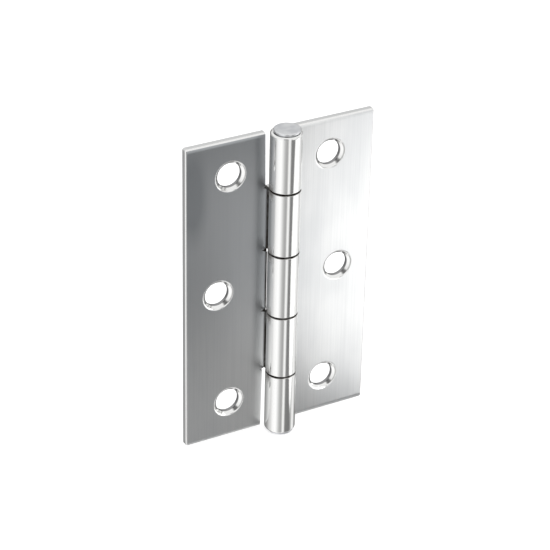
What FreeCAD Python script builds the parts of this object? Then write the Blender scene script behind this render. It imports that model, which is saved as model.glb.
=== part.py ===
"""Pressed-steel butt hinge with five knuckles and a fixed pin, in millimetres.

Two leaves are folded out flat.  The pin's axis is the Z axis, and the origin is on it at
mid-height.  The leaves lie along X, with the barrel and the countersinks on their -Y side,
so the face that is screwed down looks towards +Y and is level with the barrel's back.

Each leaf is one sheet of steel.  Its knuckles are tongues of the same sheet, rolled from the
back plane right round the pin until the sheet's end meets the leaf's front face again.
"""
import FreeCAD, Part
import math
import os

Vector = FreeCAD.Vector

# Leaves
LEAF_HEIGHT = 75.4
LEAF_DROP = 0.2              # the leaves' middle lies this far below the barrel's
LEAF_REACH = 23.0            # pin axis to the leaf's outer edge
SHEET = 1.5                  # thickness of the steel sheet
ROLLOVER = 0.4               # rounding that the shear leaves on the outer front edges
CORNER_RADIUS = 0.5          # outer corners, seen from the front

# Barrel
BARREL_RADIUS = 3.55
BARREL_HEIGHT = 75.8
KNUCKLE_PITCH = 15.6         # height of each of the three middle knuckles
KNUCKLE_SHIFT = 0.8          # the middle knuckle's centre lies this far above mid-height
KNUCKLE_GAP = 0.35           # between one knuckle and the next
KNUCKLE_ROUNDING = 0.2       # where two knuckles meet
BARREL_END_ROUNDING = 0.5
SEAM_GAP = 0.25              # between the rolled sheet's end and the leaf's front face
SEAM_ROUNDING = 0.3

# Clearance of each leaf round the other leaf's knuckles
MIDDLE_NOTCH = 3.0           # pin axis to the leaf's edge beside a middle knuckle
END_NOTCH_INNER = 3.7        # beside an end knuckle, at the knuckle's inner end
END_NOTCH_OUTER = 3.95       # beside an end knuckle, at the leaf's end
NICK_LENGTH = 1.1            # relief nick in the leaf where two knuckles meet
NICK_HEIGHT = 1.15
NICK_DEPTH = 0.25            # the nick is struck from the front and doesn't go right through

# Pin
PIN_RADIUS = 2.0
HEAD_RADIUS = 3.0
HEAD_THICKNESS = 0.45
HEAD_ROUNDING = 0.2
NECK_RADIUS = 2.6
NECK_HEIGHT = 0.2
HEAD_OFFSET = 0.2            # the formed heads stand off-centre towards +X

# Screw holes
HOLE_RADIUS = 2.87
COUNTERSINK_RADIUS = 3.8
LIP_RADIUS = 0.7             # rounding of the pressed countersink's outer lip
LIP_START = 8.0              # slope of the lip where it leaves the front face, in degrees
COUNTERSINK_SLOPE = 45.0     # slope of the countersink inside the lip, in degrees
OUTER_HOLE_X = 12.2
OUTER_HOLE_Z = 28.9
MIDDLE_HOLE_X = 15.05

BACK = BARREL_RADIUS
FRONT = BARREL_RADIUS - SHEET
BORE_RADIUS = BARREL_RADIUS - SHEET
LEAF_TOP = LEAF_HEIGHT / 2 - LEAF_DROP
LEAF_BOTTOM = -LEAF_HEIGHT / 2 - LEAF_DROP
CLEAR = 1.0                  # how far a cutting shape stands out of the sheet
RIGHT, LEFT = 1, -1

JOINTS = [KNUCKLE_SHIFT + step * KNUCKLE_PITCH for step in (1.5, 0.5, -0.5, -1.5)]
LEVELS = [BARREL_HEIGHT / 2] + JOINTS + [-BARREL_HEIGHT / 2]


def knuckle_span(index):
    """Lowest and highest z of a knuckle, counted from 0 at the top."""
    top, bottom = LEVELS[index], LEVELS[index + 1]
    if index > 0:
        top -= KNUCKLE_GAP / 2
    if index < 4:
        bottom += KNUCKLE_GAP / 2
    return bottom, top


def polar(radius, degrees, side, z):
    """Point round the pin's axis: 0 degrees towards the leaf, 90 towards its back."""
    angle = math.radians(degrees)
    return Vector(side * radius * math.cos(angle), radius * math.sin(angle), z)


def arc(radius, start, end, side, z):
    middle = (start + end) / 2
    return Part.Arc(*[polar(radius, degrees, side, z) for degrees in (start, middle, end)]).toShape()


def seam_corner(end, side, z):
    """Rounded outer corner of the rolled sheet's end, which is cut square at the angle end."""
    centre_radius = BARREL_RADIUS - SEAM_ROUNDING
    turn = math.degrees(math.asin(SEAM_ROUNDING / centre_radius))
    centre = polar(centre_radius, end - turn, side, z)
    halfway = polar(SEAM_ROUNDING, (2 * end - turn + 90) / 2, side, 0)
    start = polar(BARREL_RADIUS, end - turn, side, z)
    finish = polar(centre_radius * math.cos(math.radians(turn)), end, side, z)
    return Part.Arc(start, centre + halfway, finish).toShape(), end - turn, finish


def roll_section(side, z):
    """Section of the rolled sheet, from the back round the far side to the seam."""
    end = 360 + math.degrees(math.asin((FRONT - SEAM_GAP) / BARREL_RADIUS))
    corner, arc_end, corner_end = seam_corner(end, side, z)
    edges = [
        arc(BARREL_RADIUS, 90, arc_end, side, z),
        corner,
        Part.makeLine(corner_end, polar(BORE_RADIUS, end, side, z)),
        arc(BORE_RADIUS, end, 90, side, z),
        Part.makeLine(polar(BORE_RADIUS, 90, side, z), polar(BARREL_RADIUS, 90, side, z)),
    ]
    return Part.Face(Part.Wire(edges))


def outer_arc(solid, z):
    """Edge of the barrel's outer circle in the plane at height z."""
    return [edge for edge in solid.Edges
            if not edge.Degenerated and isinstance(edge.Curve, Part.Circle)
            and abs(edge.Curve.Radius - BARREL_RADIUS) < 1e-6 and abs(edge.Curve.Center.z - z) < 1e-6]


def knuckle(side, index):
    bottom, top = knuckle_span(index)
    solid = roll_section(side, bottom).extrude(Vector(0, 0, top - bottom))
    top_radius = BARREL_END_ROUNDING if index == 0 else KNUCKLE_ROUNDING
    bottom_radius = BARREL_END_ROUNDING if index == 4 else KNUCKLE_ROUNDING
    solid = solid.makeFillet(top_radius, outer_arc(solid, top))
    return solid.makeFillet(bottom_radius, outer_arc(solid, bottom))


def notch_edge(index):
    """x of the leaf's edge beside a foreign knuckle, at its top and at its bottom."""
    if index == 0:
        return END_NOTCH_OUTER, END_NOTCH_INNER
    if index == 4:
        return END_NOTCH_INNER, END_NOTCH_OUTER
    return MIDDLE_NOTCH, MIDDLE_NOTCH


def leaf_outline(own_knuckles):
    """Corners (x, z) of the flat sheet, down the barrel side and back up the outer edge."""
    corners = []
    for index in range(5):
        bottom, top = knuckle_span(index)
        if index in own_knuckles:
            edge_top = edge_bottom = 0.0
        else:
            edge_top, edge_bottom = notch_edge(index)
            top += KNUCKLE_GAP if index > 0 else 0.0
            bottom -= KNUCKLE_GAP if index < 4 else 0.0
        corners += [(edge_top, min(top, LEAF_TOP)), (edge_bottom, max(bottom, LEAF_BOTTOM))]
    return corners + [(LEAF_REACH, LEAF_BOTTOM), (LEAF_REACH, LEAF_TOP)]


def prism(points, side, y_front, y_back):
    """Solid between two planes of constant y, from (x, z) corners."""
    vertices = [Vector(side * x, y_front, z) for x, z in points]
    face = Part.Face(Part.makePolygon(vertices + vertices[:1]))
    return face.extrude(Vector(0, y_back - y_front, 0))


def relief_nick(side, z):
    """Small three-cornered nick where a notch and a tongue meet."""
    points = [(MIDDLE_NOTCH, z - NICK_HEIGHT / 2), (MIDDLE_NOTCH + NICK_LENGTH, z),
              (MIDDLE_NOTCH, z + NICK_HEIGHT / 2)]
    return prism(points, side, FRONT - SEAM_GAP / 2, FRONT + NICK_DEPTH)


def lip_point(degrees):
    """Point (r, y) of the countersink's rounded lip where its slope is the given angle."""
    start, angle = math.radians(LIP_START), math.radians(degrees)
    r = COUNTERSINK_RADIUS - LIP_RADIUS * (math.sin(angle) - math.sin(start))
    return r, FRONT + LIP_RADIUS * (math.cos(start) - math.cos(angle))


def screw_hole(side, x, z):
    """Shape of a hole through the sheet with a pressed countersink in the front."""
    def at(r, y):
        return Vector(side * x + r, y, z)

    lip = [at(*lip_point(degrees))
           for degrees in (LIP_START, (LIP_START + COUNTERSINK_SLOPE) / 2, COUNTERSINK_SLOPE)]
    r, y = lip_point(COUNTERSINK_SLOPE)
    throat = at(HOLE_RADIUS, y + (r - HOLE_RADIUS) * math.tan(math.radians(COUNTERSINK_SLOPE)))
    corners = [throat, at(HOLE_RADIUS, BACK + CLEAR), at(0, BACK + CLEAR), at(0, FRONT - CLEAR),
               at(COUNTERSINK_RADIUS, FRONT - CLEAR), lip[0]]
    section = Part.Wire([Part.Arc(*lip).toShape(), Part.makeLine(lip[2], throat)]
                        + Part.makePolygon(corners).Edges)
    return Part.Face(section).revolve(at(0, 0), Vector(0, 1, 0), 360)


def is_level_at(edge, axis, value):
    """True for a straight edge whose points all have the given coordinate."""
    return all(abs(getattr(vertex.Point, axis) - value) < 1e-6 for vertex in edge.Vertexes)


def is_outer(edge, side):
    """True for the edges along the leaf's ends, outer side and outer corners."""
    middle = edge.CenterOfMass
    from_end = min(LEAF_TOP - middle.z, middle.z - LEAF_BOTTOM)
    return from_end < CORNER_RADIUS or LEAF_REACH - side * middle.x < CORNER_RADIUS


def rounded_sheet(side, own_knuckles):
    """The flat part of a leaf, with its corners and its sheared front edges rounded."""
    sheet = prism(leaf_outline(own_knuckles), side, FRONT, BACK)
    corners = [edge for edge in sheet.Edges
               if is_level_at(edge, "x", side * LEAF_REACH) and abs(edge.Length - SHEET) < 1e-6]
    sheet = sheet.makeFillet(CORNER_RADIUS, corners)
    front = [edge for edge in sheet.Edges if is_level_at(edge, "y", FRONT)]
    outer = [edge for edge in front if is_outer(edge, side)]
    return sheet.makeFillet(ROLLOVER, outer)


def leaf(side, own_knuckles):
    solid = rounded_sheet(side, own_knuckles)
    for index in own_knuckles:
        solid = solid.fuse(knuckle(side, index))
    for z in JOINTS:
        solid = solid.cut(relief_nick(side, z))
    for x, z in ((OUTER_HOLE_X, OUTER_HOLE_Z), (MIDDLE_HOLE_X, 0.0), (OUTER_HOLE_X, -OUTER_HOLE_Z)):
        solid = solid.cut(screw_hole(side, x, z))
    return solid.removeSplitter()


def pin_head(direction):
    """Formed head on a short neck, at the top (direction 1) or the bottom (-1)."""
    end = direction * BARREL_HEIGHT / 2
    axis = Vector(0, 0, direction)
    neck = Part.makeCylinder(NECK_RADIUS, NECK_HEIGHT, Vector(HEAD_OFFSET, 0, end), axis)
    base = Vector(HEAD_OFFSET, 0, end + direction * NECK_HEIGHT)
    head = Part.makeCylinder(HEAD_RADIUS, HEAD_THICKNESS, base, axis)
    rim_z = end + direction * (NECK_HEIGHT + HEAD_THICKNESS)
    rims = [edge for edge in head.Edges
            if isinstance(edge.Curve, Part.Circle) and abs(edge.CenterOfMass.z - rim_z) < 1e-6]
    return neck.fuse(head.makeFillet(HEAD_ROUNDING, rims))


def pin():
    shank = Part.makeCylinder(PIN_RADIUS, BARREL_HEIGHT, Vector(0, 0, -BARREL_HEIGHT / 2))
    return shank.fuse(pin_head(1)).fuse(pin_head(-1)).removeSplitter()


def main():
    nodes = {
        "leaf_three_knuckle": leaf(RIGHT, (0, 2, 4)),
        "leaf_two_knuckle": leaf(LEFT, (1, 3)),
        "hinge_pin": pin(),
    }
    os.makedirs("parts", exist_ok=True)
    for name, shape in nodes.items():
        box = shape.BoundBox
        print(name, "solids", len(shape.Solids), "valid", shape.isValid(), "volume", round(shape.Volume, 2))
        print("   x", box.XMin, box.XMax, " y", box.YMin, box.YMax, " z", box.ZMin, box.ZMax)
        shape.exportStep("parts/%s.step" % name)


main()
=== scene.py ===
import bpy
import math
from mathutils import Matrix, Vector


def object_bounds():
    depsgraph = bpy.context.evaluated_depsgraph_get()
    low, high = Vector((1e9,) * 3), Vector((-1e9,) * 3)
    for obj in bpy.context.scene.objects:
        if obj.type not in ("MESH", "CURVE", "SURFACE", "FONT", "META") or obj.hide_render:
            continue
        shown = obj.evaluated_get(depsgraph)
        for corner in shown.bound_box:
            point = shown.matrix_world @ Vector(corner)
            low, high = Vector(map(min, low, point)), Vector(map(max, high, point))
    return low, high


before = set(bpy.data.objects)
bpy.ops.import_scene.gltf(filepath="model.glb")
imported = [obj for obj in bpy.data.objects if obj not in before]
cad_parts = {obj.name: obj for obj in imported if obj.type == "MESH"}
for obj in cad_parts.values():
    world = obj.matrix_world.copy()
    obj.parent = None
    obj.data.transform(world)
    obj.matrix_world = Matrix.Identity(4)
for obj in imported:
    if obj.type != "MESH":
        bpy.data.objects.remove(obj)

CAD_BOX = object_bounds()

MM = 0.001

# Camera: where it stands, in degrees round the hinge and above it, and its lens
CAMERA_AZIMUTH = -28.98
CAMERA_ELEVATION = 30.51
CAMERA_ROLL = 1.28
CAMERA_DISTANCE = 471.7 * MM
CAMERA_SIDE_STEP = -1.72 * MM
CAMERA_RISE = 2.04 * MM
SENSOR_WIDTH = 36.0
LENS = 139.1

# Places that the steel's finish follows, in mm
LEAF_FRONT = 2.05            # y of the leaves' front faces
LEAF_TOP, LEAF_BOTTOM = 37.5, -37.9
NOTCH_EDGE = 3.0             # pin axis to a leaf's edge beside the other leaf's knuckles
JOINTS = (24.2, 8.6, -7.0, -22.6)   # heights where two knuckles meet
DUBBING = 1.1                # width of the strip along a leaf's ends that the shear bent back
DUBBING_DEPTH = 0.25         # how far the finish makes that strip look bent at the very end
HOLES = ((12.2, 28.9), (15.05, 0.0))   # distances of the hole centres from the pin and from mid-height
HOLE_RADIUS = 2.87

POLISHED_STEEL = (0.85, 0.85, 0.84, 1)
WHITE_STEEL = (0.87, 0.875, 0.87, 1)
GREY_STEEL = (0.75, 0.76, 0.765, 1)
# dull steel of the sheared faces and brush lines, also the colour of the painted shade on the left leaf
DULL_AND_SHADED_STEEL = (0.345, 0.36, 0.375, 1)
# duller punched steel of the hole walls, darkened further with painted shade inside the holes
HOLE_WALL_DULL_AND_SHADED = (0.20, 0.20, 0.205, 1)
HEAD_STEEL = (0.74, 0.75, 0.76, 1)
HEAD_SHADE = (0.62, 0.63, 0.65, 1)   # the pin heads' duller clouds
# near-black old oil, also used as painted shade in the joints, seams and nicks
GRIME_AND_SHADE = (0.030, 0.022, 0.014, 1)


# ---------------------------------------------------------------- camera

def towards(azimuth, elevation):
    """Unit vector at an azimuth, from -Y towards +X, and an elevation, in degrees."""
    azimuth, elevation = math.radians(azimuth), math.radians(elevation)
    return Vector((math.sin(azimuth) * math.cos(elevation),
                   -math.cos(azimuth) * math.cos(elevation), math.sin(elevation)))


def add_camera():
    back = towards(CAMERA_AZIMUTH, CAMERA_ELEVATION)
    right = Vector((0, 0, 1)).cross(back).normalized()
    up = back.cross(right)
    roll = math.radians(CAMERA_ROLL)
    side = right * math.cos(roll) + up * math.sin(roll)
    top = up * math.cos(roll) - right * math.sin(roll)
    data = bpy.data.cameras.new("camera")
    data.sensor_fit = "HORIZONTAL"
    data.sensor_width = SENSOR_WIDTH
    data.lens = LENS
    data.clip_start = 0.01
    camera = bpy.data.objects.new("camera", data)
    bpy.context.scene.collection.objects.link(camera)
    place = back * CAMERA_DISTANCE + side * CAMERA_SIDE_STEP + top * CAMERA_RISE
    camera.matrix_world = Matrix.Translation(place) @ Matrix((side, top, back)).transposed().to_4x4()
    bpy.context.scene.camera = camera


# ---------------------------------------------------------------- shader nodes

class Tree:
    """Short names for building a node tree."""

    def __init__(self, node_tree):
        self.nodes, self.links = node_tree.nodes, node_tree.links

    def add(self, kind, **settings):
        node = self.nodes.new("ShaderNode" + kind)
        for name, value in settings.items():
            setattr(node, name, value)
        return node

    def put(self, socket, value):
        """Link a socket, or set its value when given a number, vector or colour."""
        if isinstance(value, bpy.types.NodeSocket):
            self.links.new(value, socket)
        else:
            socket.default_value = value

    def math(self, operation, *values):
        node = self.add("Math", operation=operation)
        for socket, value in zip(node.inputs, values):
            self.put(socket, value)
        return node.outputs[0]

    def length(self, a, b):
        """Length of the vector (a, b)."""
        return self.math("SQRT", self.math("ADD", self.math("MULTIPLY", a, a), self.math("MULTIPLY", b, b)))

    def ramp(self, value, low, high, at_low=0.0, at_high=1.0):
        """Smooth step from at_low to at_high while the value goes from low to high."""
        node = self.add("MapRange", interpolation_type="SMOOTHSTEP")
        for name, setting in (("Value", value), ("From Min", low), ("From Max", high),
                              ("To Min", at_low), ("To Max", at_high)):
            self.put(node.inputs[name], setting)
        return node.outputs[0]

    def mix(self, factor, first, second):
        """Blend two colours."""
        node = self.add("Mix", data_type="RGBA")
        self.put(node.inputs[0], factor)
        self.put(node.inputs[6], first)
        self.put(node.inputs[7], second)
        return node.outputs[2]

    def noise(self, vector, scale, detail=2.0):
        """Noise between about 0 and 1, with its own scale along each axis, per millimetre."""
        mapping = self.add("Mapping")
        self.put(mapping.inputs["Vector"], vector)
        mapping.inputs["Scale"].default_value = [s / MM for s in scale]
        node = self.add("TexNoise")
        self.put(node.inputs["Vector"], mapping.outputs[0])
        node.inputs["Scale"].default_value = 1.0
        node.inputs["Detail"].default_value = detail
        return node.outputs["Fac"]

    def split(self, vector):
        node = self.add("SeparateXYZ")
        self.put(node.inputs[0], vector)
        return node.outputs[:]


def new_material(name):
    material = bpy.data.materials.new(name)
    material.use_nodes = True
    tree = Tree(material.node_tree)
    return material, tree, tree.nodes["Principled BSDF"]


# ---------------------------------------------------------------- studio

# Brightness of the studio round the hinge by azimuth, in degrees from -Y towards +X:
# white sheets with dark gaps, as they are stood round bright metal
STUDIO_BANDS = (
    (-180, 0.30), (-150, 0.30), (-130, 0.46), (-115, 0.72), (-100, 0.82), (-84, 1.10), (-60, 1.20),
    (-50, 1.00), (-40, 0.74), (-32, 0.54), (-19, 0.42), (-14, 0.50), (-9, 1.05), (3, 1.05), (10, 0.24),
    (50, 0.20), (64, 0.60), (70, 0.90), (78, 1.05), (92, 0.90), (108, 0.25), (150, 0.20), (180, 0.30),
)
TENT_WHITE = (1, 1, 1, 1)    # the sheets overhead and underneath
LENS_DARK = (0.16, 0.16, 0.16, 1)
LENS_REACH, LENS_CORE = 20, 8   # half-angles of the dark spot and of its darkest part, in degrees
SOFTBOX_PLACE = (86 * MM, -50 * MM, -27.5 * MM)
SOFTBOX_RADIUS = 61 * MM
SOFTBOX_RADIANCE = 1.05
FLOOR_REACH = 3.0
FLOOR_GAP = 0.2 * MM


def upright_sheets(tree, x, y):
    """Colour of the sheets that stand round the hinge, by azimuth."""
    azimuth = tree.math("ARCTAN2", x, tree.math("MULTIPLY", y, -1.0))
    bands = tree.add("ValToRGB")
    elements = bands.color_ramp.elements
    elements.remove(elements[1])
    for index, (degrees, level) in enumerate(STUDIO_BANDS):
        place = (degrees + 180) / 360
        element = elements.new(place) if index else elements[0]
        element.position = place
        element.color = (level, level, level, 1)
    tree.put(bands.inputs["Fac"], tree.math("MULTIPLY_ADD", azimuth, 1 / (2 * math.pi), 0.5))
    return bands.outputs["Color"]


def overhead_mask(tree, x, y, z):
    """Where the white overhead hangs; in front of the leaves it comes down further."""
    before = tree.math("MULTIPLY", tree.ramp(x, 0.15, 0.33), tree.ramp(y, -0.55, -0.75))
    before = tree.math("MULTIPLY", before, tree.ramp(z, -0.38, -0.10))
    return tree.math("MAXIMUM", before, tree.ramp(z, 0.05, 0.60))


def lens_mask(tree, direction):
    """Dark spot in the tent, on the side from which the main view is taken."""
    aim = tree.add("VectorMath", operation="DOT_PRODUCT")
    tree.put(aim.inputs[0], direction)
    aim.inputs[1].default_value = towards(CAMERA_AZIMUTH, CAMERA_ELEVATION)
    edge, core = [math.cos(math.radians(angle)) for angle in (LENS_REACH, LENS_CORE)]
    return tree.ramp(aim.outputs["Value"], edge, core)


def studio_world():
    """Tent round the hinge: banded sheets at the sides, white overhead and underneath."""
    world = bpy.data.worlds.new("studio")
    bpy.context.scene.world = world
    world.use_nodes = True
    tree = Tree(world.node_tree)
    tree.nodes.clear()
    direction = tree.add("TexCoord").outputs["Generated"]
    x, y, z = tree.split(direction)
    tent = tree.mix(tree.ramp(z, -0.86, -0.94), upright_sheets(tree, x, y), TENT_WHITE)
    tent = tree.mix(overhead_mask(tree, x, y, z), tent, TENT_WHITE)
    tent = tree.mix(lens_mask(tree, direction), tent, LENS_DARK)
    background = tree.add("Background")
    tree.put(background.inputs["Color"], tent)
    output = tree.add("OutputWorld")
    tree.put(output.inputs["Surface"], background.outputs[0])


def add_softbox():
    """Soft round light low on the right, which the right-hand leaf mirrors."""
    data = bpy.data.lights.new("softbox", "AREA")
    data.shape = "DISK"
    data.size = 2 * SOFTBOX_RADIUS
    data.energy = SOFTBOX_RADIANCE * math.pi * math.pi * SOFTBOX_RADIUS ** 2
    data.diffuse_factor = 0.0
    light = bpy.data.objects.new("softbox", data)
    bpy.context.scene.collection.objects.link(light)
    light.matrix_world = Matrix.Translation(SOFTBOX_PLACE) @ Matrix.Rotation(math.radians(90), 4, "X")
    light.visible_camera = False


def floor_material():
    material, tree, shader = new_material("studio_floor")
    shader.inputs["Base Color"].default_value = (0.9, 0.9, 0.9, 1)
    shader.inputs["Roughness"].default_value = 0.9
    shader.inputs["Specular IOR Level"].default_value = 0.0
    shader.inputs["Emission Color"].default_value = (1, 1, 1, 1)
    shader.inputs["Emission Strength"].default_value = 0.5
    return material


def add_floor():
    """Pale floor, lit to white; the steel mirrors the tent and not the floor."""
    low = CAD_BOX[0][2] - FLOOR_GAP
    corners = [(x * FLOOR_REACH, y * FLOOR_REACH, low) for x, y in ((-1, -1), (1, -1), (1, 1), (-1, 1))]
    mesh = bpy.data.meshes.new("floor")
    mesh.from_pydata(corners, [], [(0, 1, 2, 3)])
    floor = bpy.data.objects.new("floor", mesh)
    bpy.context.scene.collection.objects.link(floor)
    mesh.materials.append(floor_material())
    floor.visible_glossy = False
    floor.visible_shadow = False


# ---------------------------------------------------------------- steel

def from_joint(tree, z):
    """Distance from the nearest joint between knuckles, in metres."""
    nearest, *others = [tree.math("ABSOLUTE", tree.math("SUBTRACT", z, joint * MM)) for joint in JOINTS]
    for gap in others:
        nearest = tree.math("MINIMUM", nearest, gap)
    return nearest


def grime_and_shade_on_barrel(tree, width, radius, joint):
    """Old oil and painted shade in the joints, creeping up the barrel's sides beside them."""
    in_joint = tree.ramp(joint, 0.18 * MM, 0.38 * MM, 1.0, 0.0)
    beside = tree.math("MULTIPLY", tree.ramp(width, 3.3 * MM, 3.5 * MM),
                       tree.ramp(joint, 0.3 * MM, 3.0 * MM, 0.8, 0.0))
    on_barrel = tree.ramp(radius, 3.60 * MM, 3.64 * MM, 1.0, 0.0)
    return tree.math("MULTIPLY", tree.math("MAXIMUM", in_joint, beside), on_barrel)


def grime_and_shade_in_seam(tree, width, y):
    """Old oil and painted shade along the crease where a roll's end meets the leaf."""
    across = tree.math("SUBTRACT", width, (NOTCH_EDGE - 0.05) * MM)
    along = tree.math("SUBTRACT", y, (LEAF_FRONT - 0.15) * MM)
    return tree.ramp(tree.length(across, along), 0.25 * MM, 0.60 * MM, 1.0, 0.0)


def grime_and_shade_in_nick(tree, width, y, joint):
    """Old oil and painted shade in the three-cornered relief nicks and just round them."""
    slant = tree.math("MULTIPLY", tree.math("SUBTRACT", width, NOTCH_EDGE * MM), 0.5)
    nick = tree.ramp(tree.math("ADD", slant, joint), 0.5 * MM, 0.8 * MM, 1.0, 0.0)
    nick = tree.math("MULTIPLY", nick, tree.ramp(width, 2.8 * MM, 2.95 * MM))
    nick = tree.math("MULTIPLY", nick, tree.ramp(y, (LEAF_FRONT - 0.1) * MM, (LEAF_FRONT - 0.05) * MM))
    return tree.math("MULTIPLY", nick, tree.ramp(y, 3.3 * MM, 3.4 * MM, 1.0, 0.0))


def grime_and_shade_mask(tree, coords, x, y, z):
    """Patchy old oil and painted shade wherever two surfaces of the hinge meet."""
    width, joint = tree.math("ABSOLUTE", x), from_joint(tree, z)
    mask = tree.math("MAXIMUM", grime_and_shade_on_barrel(tree, width, tree.length(x, y), joint),
                     grime_and_shade_in_seam(tree, width, y))
    mask = tree.math("MAXIMUM", mask, grime_and_shade_in_nick(tree, width, y, joint))
    patchy = tree.ramp(tree.noise(coords, (0.8, 0.8, 0.35)), 0.25, 0.55, 0.55, 1.0)
    return tree.math("MULTIPLY", mask, patchy)


def from_hole(tree, x, z):
    """Distance from the nearest screw hole's centre, in metres."""
    width, height = tree.math("ABSOLUTE", x), tree.math("ABSOLUTE", z)
    gaps = []
    for hole_x, hole_z in HOLES:
        across = tree.math("SUBTRACT", width, hole_x * MM)
        along = tree.math("SUBTRACT", height, hole_z * MM)
        gaps.append(tree.length(across, along))
    return tree.math("MINIMUM", *gaps)


def painted_dark_reflection(tree, x, z):
    """Painted reflection of a dark shape near the left leaf's upper outer corner: a soft dark streak."""
    across = tree.math("DIVIDE", tree.math("ADD", x, 21.2 * MM), 2.8 * MM)
    along = tree.math("DIVIDE", tree.math("SUBTRACT", z, 25.0 * MM), 8.5 * MM)
    return tree.ramp(tree.length(across, along), 0.0, 1.7, 0.45, 0.0)


def left_leaf_painted_shade(tree, x, y, z):
    """Painted shade on the left leaf's front: darker towards its top and beside the barrel."""
    upwards = tree.math("ADD", tree.ramp(z, -34 * MM, 8 * MM, 0.0, 0.72),
                        tree.ramp(z, 24 * MM, 38 * MM, 0.0, 0.14))
    by_barrel = tree.ramp(x, -7.0 * MM, -4.2 * MM, 0.0, 0.3)
    painted_shade = tree.math("ADD", tree.math("ADD", upwards, by_barrel), painted_dark_reflection(tree, x, z))
    on_left = tree.ramp(x, -3.0 * MM, -1.0 * MM, 1.0, 0.0)
    on_front = tree.ramp(y, 2.6 * MM, 3.0 * MM, 1.0, 0.0)
    return tree.math("MULTIPLY", painted_shade, tree.math("MULTIPLY", on_left, on_front))


def dubbed_ends(tree, z):
    """Height of the surface near the leaf's ends, in mm, where the shear bent it back."""
    from_top = tree.math("SUBTRACT", LEAF_TOP * MM, z)
    from_bottom = tree.math("SUBTRACT", z, LEAF_BOTTOM * MM)
    from_end = tree.math("MINIMUM", from_top, from_bottom)
    return tree.ramp(from_end, -DUBBING * MM, DUBBING * MM, -2 * DUBBING_DEPTH, 0.0)


def plate_colour(tree, place, cloud, brush, flat, sheared):
    """Clouded plate on the flats, with painted shade on the left leaf's front, polished rolls and lips,
    duller sheared faces, and hole walls of duller steel darkened with painted shade.
    """
    x, y, z = place
    plate = tree.mix(tree.ramp(cloud, 0.3, 0.7), GREY_STEEL, WHITE_STEEL)
    # painted shade: the left leaf's front darkened towards its top and beside the barrel
    plate = tree.mix(left_leaf_painted_shade(tree, x, y, z), plate, DULL_AND_SHADED_STEEL)
    plate = tree.mix(tree.ramp(brush, 0.3, 0.8, 0.0, 0.12), plate, DULL_AND_SHADED_STEEL)
    plate = tree.mix(flat, POLISHED_STEEL, plate)
    plate = tree.mix(tree.math("MULTIPLY", sheared, 0.25), plate, DULL_AND_SHADED_STEEL)
    # hole walls: duller punched steel, with painted shade inside the holes
    in_hole = tree.ramp(from_hole(tree, x, z), (HOLE_RADIUS + 0.02) * MM, (HOLE_RADIUS + 0.12) * MM, 0.8, 0.0)
    return tree.mix(in_hole, plate, HOLE_WALL_DULL_AND_SHADED)


def plate_roughness(tree, cloud, flat, sheared, grime_and_shade):
    """Smooth on the rolls and lips, rougher on the brushed flats, sheared faces, and the oil and painted
    shade in the joints.
    """
    rough = tree.math("MULTIPLY_ADD", flat, 0.21, 0.10)
    rough = tree.math("ADD", rough, tree.ramp(cloud, 0.3, 0.7, 0.03, 0.0))
    rough = tree.math("MULTIPLY_ADD", sheared, 0.25, rough)
    return tree.math("MULTIPLY_ADD", grime_and_shade, 0.4, rough)


def plate_height(tree, coords, z, brush, flat, in_leaf):
    """Height of the surface in mm: slow ripples, brush lines and the bent-back ends."""
    ripple = tree.noise(coords, (0.30, 0.30, 0.05), 1.0)
    height = tree.math("ADD", tree.math("MULTIPLY", ripple, 0.030), tree.math("MULTIPLY", brush, 0.004))
    height = tree.math("MULTIPLY", height, tree.math("MULTIPLY_ADD", flat, 0.6, 0.25))
    return tree.math("ADD", height, tree.math("MULTIPLY", dubbed_ends(tree, z), in_leaf))


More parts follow.
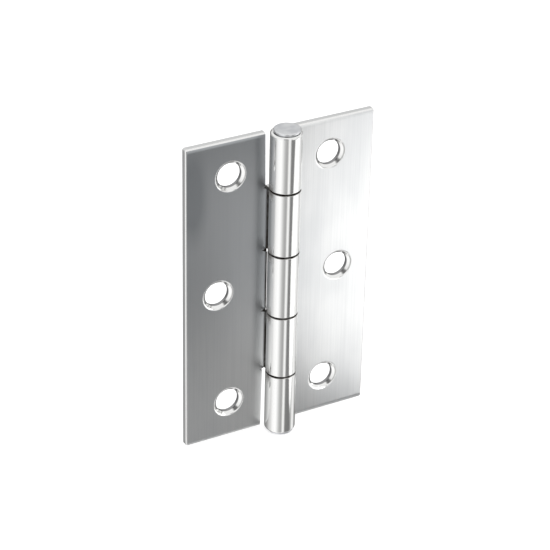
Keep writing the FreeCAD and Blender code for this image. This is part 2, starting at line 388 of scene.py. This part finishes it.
def plated_steel():
    """Bright plate over brushed sheet, polished where the tools pressed and rolled it."""
    material, tree, shader = new_material("plated_steel")
    texture = tree.add("TexCoord")
    coords = texture.outputs["Object"]
    x, y, z = tree.split(coords)
    facing = tree.math("ABSOLUTE", tree.split(texture.outputs["Normal"])[1])
    in_leaf = tree.ramp(y, (LEAF_FRONT - 0.1) * MM, (LEAF_FRONT - 0.05) * MM)
    flat = tree.math("MULTIPLY", tree.ramp(facing, 0.94, 0.99), in_leaf)
    sheared = tree.math("MULTIPLY", tree.ramp(facing, 0.05, 0.3, 1.0, 0.0), in_leaf)
    brush = tree.noise(coords, (2.4, 2.4, 0.035), 4.0)
    cloud = tree.noise(coords, (0.07, 0.07, 0.035), 3.0)
    grime_and_shade = grime_and_shade_mask(tree, coords, x, y, z)

    colour = plate_colour(tree, (x, y, z), cloud, brush, flat, sheared)
    # old oil and painted shade where surfaces meet
    tree.put(shader.inputs["Base Color"], tree.mix(grime_and_shade, colour, GRIME_AND_SHADE))
    tree.put(shader.inputs["Metallic"], tree.ramp(grime_and_shade, 0.0, 1.0, 1.0, 0.3))
    tree.put(shader.inputs["Roughness"], plate_roughness(tree, cloud, flat, sheared, grime_and_shade))
    shader.inputs["Anisotropic"].default_value = 0.5
    bump = tree.add("Bump")
    bump.inputs["Distance"].default_value = MM
    tree.put(bump.inputs["Height"], plate_height(tree, coords, z, brush, flat, in_leaf))
    tree.put(shader.inputs["Normal"], bump.outputs[0])
    return material


def pin_steel():
    """Satin steel of the pin, with turning marks on its formed heads."""
    material, tree, shader = new_material("pin_steel")
    coords = tree.add("TexCoord").outputs["Object"]
    x, y, _ = tree.split(coords)
    cloud = tree.noise(coords, (0.5, 0.5, 0.5), 1.0)
    ring = tree.math("SINE", tree.math("MULTIPLY", tree.length(x, y), 18 / MM))
    tree.put(shader.inputs["Base Color"], tree.mix(tree.ramp(cloud, 0.3, 0.7), HEAD_SHADE, HEAD_STEEL))
    shader.inputs["Metallic"].default_value = 1.0
    tree.put(shader.inputs["Roughness"], tree.ramp(cloud, 0.3, 0.7, 0.38, 0.30))
    bump = tree.add("Bump")
    bump.inputs["Distance"].default_value = 0.002 * MM
    bump.inputs["Strength"].default_value = 0.3
    tree.put(bump.inputs["Height"], tree.math("MULTIPLY_ADD", ring, 0.3, cloud))
    tree.put(shader.inputs["Normal"], bump.outputs[0])
    return material


def dress_nodes():
    """Give every CAD piece its finish; their shapes are left as they are."""
    finishes = {"leaf_three_knuckle": plated_steel(), "hinge_pin": pin_steel()}
    finishes["leaf_two_knuckle"] = finishes["leaf_three_knuckle"]
    for name, material in finishes.items():
        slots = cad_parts[name].data.materials
        slots.clear()
        slots.append(material)


add_camera()
studio_world()
add_softbox()
add_floor()
dress_nodes()
bpy.context.scene.view_settings.view_transform = "Standard"
